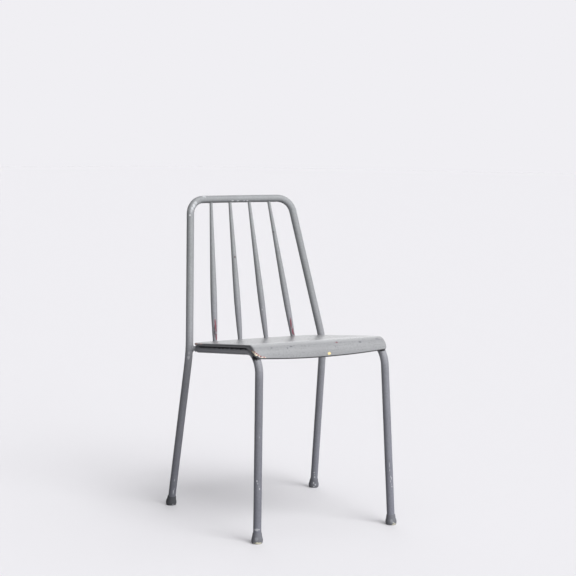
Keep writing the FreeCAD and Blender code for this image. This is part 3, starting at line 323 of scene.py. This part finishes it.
def weld_beads(name, loops, thickness, seed):
    """A lumpy bead along each closed loop of points.

    Square to the path stands a circle whose radius swells and shrinks by about a quarter in
    the short ripples of weld pools, with a slower swell on top of them.
    """
    turn = np.linspace(0.0, 2.0 * math.pi, 12, endpoint=False)[None, :, None]
    points = []
    faces = []
    for number, loop in enumerate(loops):
        count, width = len(loop), turn.size
        run = np.linspace(0.0, 2.0 * math.pi, count, endpoint=False)
        tangent = np.roll(loop, -1, axis=0) - np.roll(loop, 1, axis=0)
        tangent /= np.linalg.norm(tangent, axis=1, keepdims=True)
        outward = loop - loop.mean(axis=0)
        outward -= tangent * np.sum(outward * tangent, axis=1, keepdims=True)
        outward /= np.linalg.norm(outward, axis=1, keepdims=True)
        upward = np.cross(tangent, outward)
        phase = seed + 1.7 * number
        swell = 1.0 + 0.16 * np.sin(9.0 * run + phase) + 0.09 * np.sin(2.0 * run + 2.0 * phase)
        radius = (thickness * swell)[:, None, None]
        circle = outward[:, None] * np.cos(turn) + upward[:, None] * np.sin(turn)
        points.append((loop[:, None] + radius * circle).reshape(-1, 3))
        along, around = np.meshgrid(np.arange(count), np.arange(width), indexing="ij")
        ahead = (along + 1) % count
        beside = (around + 1) % width
        first = number * count * width
        corners = [along * width + around, ahead * width + around, ahead * width + beside, along * width + beside]
        faces.append(first + np.stack(corners, axis=-1).reshape(-1, 4))
    mesh = bpy.data.meshes.new(name)
    mesh.from_pydata(np.concatenate(points).tolist(), [], np.concatenate(faces).tolist())
    mesh.shade_smooth()
    piece = bpy.data.objects.new(name, mesh)
    bpy.context.scene.collection.objects.link(piece)
    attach(piece, "root")
    return piece


def ring_points(centre, axis, radius, saddle=None):
    """A circle of points round an axis; with a saddle radius it drapes over an upright tube."""
    axis = np.array(axis) / np.linalg.norm(axis)
    across = np.cross(axis, (0.0, 0.0, 1.0))
    if np.linalg.norm(across) < 0.3:
        across = np.cross(axis, (1.0, 0.0, 0.0))
    across /= np.linalg.norm(across)
    up = np.cross(across, axis)
    turn = np.linspace(0.0, 2.0 * math.pi, 72, endpoint=False)[:, None]
    loop = np.array(centre) + radius * (np.cos(turn) * across + np.sin(turn) * up)
    if saddle:
        loop = loop + axis * (saddle - np.sqrt(saddle ** 2 - (radius * np.cos(turn)) ** 2))
    return loop


# from each rail's nose toward the upright's centre: one bead on the nose, one draped on the upright
to_nose_bead, to_upright_bead = 0.0085, 0.0159
neck_loops = []
for side in (-1.0, 1.0):
    nose = np.array((side * 0.1780, 0.1268, 0.4345))
    way = np.array((side * 0.906, 0.422, 0.040))
    neck_loops.append(ring_points(nose + way * to_nose_bead, way, radius=0.0068))
    neck_loops.append(ring_points(nose + way * to_upright_bead, way, radius=0.0070, saddle=0.0112))
neck_beads = weld_beads("neck_weld_beads", neck_loops, thickness=0.0017, seed=0.4)
neck_beads.data.materials.append(hoop_enamel)

# Spindles: turned steel rods, thickest at a third of their height, each tipped into a hole in
# the top rail. Spindles 1 and 4 have lost their top coat near the seat.
spindle_tones = [(0.0, "85868A"), (0.43, "85868A"), (0.50, "84858A"), (0.62, "87898B"), (0.83, "898B8D")]
spindle_worn = {
    1: [
        (-115.8, 155.0, 491.0, (2.4, 8.0, 20.0), "74404A"),
        (-116.4, 150.2, 461.0, (2.4, 5.0, 9.0), "74404A"),
        (-118.9, 152.0, 474.0, (2.0, 8.0, 18.0), "4C4449"),
    ],
    2: [(-33.9, 202.6, 668.2, (2.5, 4.0, 3.0), "54484C")],
    3: [(33.0, 170.0, 524.0, (1.6, 4.0, 2.0), "AEB0B2")],
    4: [
        (113.3, 154.5, 484.0, (2.3, 6.0, 16.0), "74404A"),
        (116.6, 150.3, 462.0, (2.4, 5.0, 9.0), "7A4650"),
        (119.5, 149.2, 453.5, (2.2, 4.0, 3.4), "6C3A45"),
        (91.4, 214.7, 732.6, (1.8, 4.0, 1.8), "5A5A5F"),
    ],
}
for number in range(1, 5):
    coat = enamel("grey_enamel_on_spindle_%d" % number, spindle_tones, grain=2, chips_and_painted_light=spindle_worn[number])
    dress("spindle_%d" % number, coat)

# Spindle welds: a small ring of weld round each foot on the sheet, and a larger one round each
# tenon under the rear cross bar.
seat_normal = (0.0, 0.1015, 0.9948)
foot_places = [
    (-0.1185, 0.1533, 0.4477), (-0.0395, 0.1611, 0.4469), (0.0395, 0.1611, 0.4469), (0.1185, 0.1533, 0.4477),
]
foot_loops = [ring_points(place, seat_normal, radius=0.0063) for place in foot_places]
foot_beads = weld_beads("spindle_foot_beads", foot_loops, thickness=0.0010, seed=1.1)
foot_beads.data.materials.append(seat_enamel)
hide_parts("spindle_foot_welds")
tenon_places = [
    (-0.1189, 0.1521, 0.4420), (-0.0397, 0.1599, 0.4412), (0.0397, 0.1599, 0.4412), (0.1189, 0.1521, 0.4420),
]
tenon_loops = [ring_points(place, seat_normal, radius=0.0052) for place in tenon_places]
tenon_beads = weld_beads("tenon_weld_beads", tenon_loops, thickness=0.0013, seed=2.3)
tenon_beads.data.materials.append(bar_enamel)
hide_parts("tenon_welds")

# Ferrules: moulded rubber caps, painted over with the frame and worn to cream at the floor,
# with a steel washer inside each.
ferrule_tones = [(0.0, "67686D"), (0.02, "696A70"), (0.04, "6B6C72")]
ferrule_worn = {
    "front_left": [
        (-201.0, -252.0, 13.0, (4.0, 4.0, 5.0), "7C7E83"),
        (-198.0, -253.5, 2.8, (8.0, 5.0, 2.3), "C9C4AF"),
        (-190.0, -254.0, 2.4, (3.4, 4.0, 1.6), "C0BBA8"),
        (-206.0, -249.0, 2.4, (2.4, 3.0, 1.6), "B9B6A8"),
    ],
    "front_right": [
        (187.0, -253.0, 12.0, (4.0, 4.0, 5.0), "7E8085"),
        (195.0, -253.5, 3.0, (5.6, 5.0, 2.2), "BBB7A6"),
        (191.5, -254.0, 7.5, (2.4, 3.0, 1.4), "A9A9A4"),
    ],
    "rear_left": [(-222.0, 204.0, 3.0, (3.0, 3.0, 1.6), "85868B")],
    "rear_right": [
        (213.4, 204.9, 14.0, (2.4, 3.0, 3.0), PALE),
        (215.0, 203.5, 4.0, (3.0, 3.0, 2.0), PALE),
        (219.0, 204.0, 9.0, (2.0, 3.0, 2.4), "A6A7AB"),
    ],
}
ferrule_dark = {"front_left": 0.95, "front_right": 1.0, "rear_left": 0.41, "rear_right": 1.0}
for place, chips in ferrule_worn.items():
    share = ferrule_dark[place]
    rubber = enamel(
        "overpainted_rubber_" + place, ferrule_tones, grain=2, lean=(share, share), chips_and_painted_light=chips, gloss=0.55,
    )
    dress("ferrule_" + place, rubber)


def brushed_steel(name):
    """Plain zinc-plated steel: fine turned marks in the gloss and a faint dulling in patches."""
    material = blank_material(name)
    tree = material.node_tree
    place = add_node(tree, "TexCoord", output="Object")
    dulling = add_node(tree, "TexNoise", {"Vector": place, "Scale": 90.0, "Detail": 3.0})
    patches = {0: dulling, 6: linear("9C9EA2"), 7: linear("6F6E6C")}
    colour = add_node(tree, "Mix", patches, 2, data_type="RGBA")
    turned = add_node(tree, "TexNoise", {"Vector": place, "Scale": 900.0, "Detail": 2.0})
    rough = add_node(tree, "MapRange", {0: turned, 1: 0.3, 2: 0.7, 3: 0.3, 4: 0.5})
    shader = add_node(tree, "BsdfPrincipled", {"Base Color": colour, "Roughness": rough, "Metallic": 1.0})
    add_node(tree, "OutputMaterial", {"Surface": shader})
    return material


dress("ferrule_washers", brushed_steel("zinc_plated_washer_steel"))

# Room: a wide matt floor that meets a plain background, a soft light high in front, a low one
# from the front right, a dim one from the wall behind, a surround that is darker at the left,
# and the camera at the photograph's angle. Only the camera sees the floor at full paleness.
floor_x, floor_y = np.meshgrid(np.linspace(-40.0, 40.0, 9), np.linspace(-8.0, 90.0, 9))
floor_points = np.stack([floor_x, floor_y, 0.0 * floor_x], axis=-1).reshape(-1, 3)
rows, columns = floor_x.shape
corner = (np.arange(rows - 1)[:, None] * columns + np.arange(columns - 1)[None, :]).ravel()
quads = np.stack([corner, corner + 1, corner + columns + 1, corner + columns], axis=1)
floor_mesh = bpy.data.meshes.new("matt_floor")
floor_mesh.from_pydata(floor_points.tolist(), [], quads.tolist())
floor = bpy.data.objects.new("matt_floor", floor_mesh)
bpy.context.scene.collection.objects.link(floor)
floor_paint = blank_material("matt_floor_paint")
floor_tree = floor_paint.node_tree
seen = add_node(floor_tree, "LightPath", output="Is Camera Ray")
floor_tints = {0: seen, 6: linear("B1B1B3"), 7: linear("E1E0E3")}
floor_tone = add_node(floor_tree, "Mix", floor_tints, 2, data_type="RGBA")
floor_shader = add_node(floor_tree, "BsdfDiffuse", {"Color": floor_tone})
add_node(floor_tree, "OutputMaterial", {"Surface": floor_shader})
floor_mesh.materials.append(floor_paint)

world = bpy.data.worlds.new("studio")
bpy.context.scene.world = world
world.use_nodes = True
world_tree = world.node_tree
world_tree.nodes.clear()
heading = add_node(world_tree, "TexCoord", output="Generated")
# the surround's brightness grows with the direction's part toward the right, the front and up
lit_side = {0: heading, 1: (0.62, -0.55, 0.56)}
toward = add_node(world_tree, "VectorMath", lit_side, "Value", operation="DOT_PRODUCT")
glow = add_node(world_tree, "MapRange", {0: toward, 1: -0.30, 2: 1.0, 3: 0.04, 4: 0.95})
# a pale backdrop stands behind the chair, a little to the right
backdrop_side = {0: heading, 1: (0.55, 0.81, 0.20)}
behind = add_node(world_tree, "VectorMath", backdrop_side, "Value", operation="DOT_PRODUCT")
panel = add_node(world_tree, "MapRange", {0: behind, 1: 0.92, 2: 0.985, 3: 0.0, 4: 1.4})
level = add_node(world_tree, "Math", {0: glow, 1: panel}, operation="ADD")
surround = add_node(world_tree, "Background", {"Color": linear("FDFDFF"), "Strength": level})
backdrop = add_node(world_tree, "Background", {"Color": linear("F0EFF3"), "Strength": 1.0})
looked_at = add_node(world_tree, "LightPath", output="Is Camera Ray")
both = add_node(world_tree, "MixShader", {0: looked_at, 1: surround, 2: backdrop})
add_node(world_tree, "OutputWorld", {"Surface": both})

# name, strength, spread, tilt from overhead and turn about the vertical, in degrees; the two
# low lights stand for wide pale walls, so they leave no hot reflection on the seat
least_low_tilt = 60.0
for name, strength, spread, tilt, turn in (
    ("high_soft_light", 1.58, 36.0, 38.5, 10.5),
    ("front_right_light", 2.3, 45.0, 80.0, 16.0),
    ("rear_wall_light", 1.6, 60.0, 86.0, 159.5),
):
    light = bpy.data.lights.new(name, "SUN")
    light.energy = strength
    light.angle = math.radians(spread)
    holder = bpy.data.objects.new(name, light)
    bpy.context.scene.collection.objects.link(holder)
    holder.rotation_euler = (math.radians(tilt), 0.0, math.radians(turn))
    holder.visible_glossy = tilt < least_low_tilt

camera_data = bpy.data.cameras.new("camera")
camera_data.lens = 90.77
camera_data.sensor_width = 36.0
camera = bpy.data.objects.new("camera", camera_data)
bpy.context.scene.collection.objects.link(camera)
camera.location = (-1.7693, -3.3452, 0.9527)
camera.rotation_euler = (math.radians(90.0 - 5.345), 0.0, math.radians(-28.16))
bpy.context.scene.camera = camera
bpy.context.scene.view_settings.view_transform = "Standard"
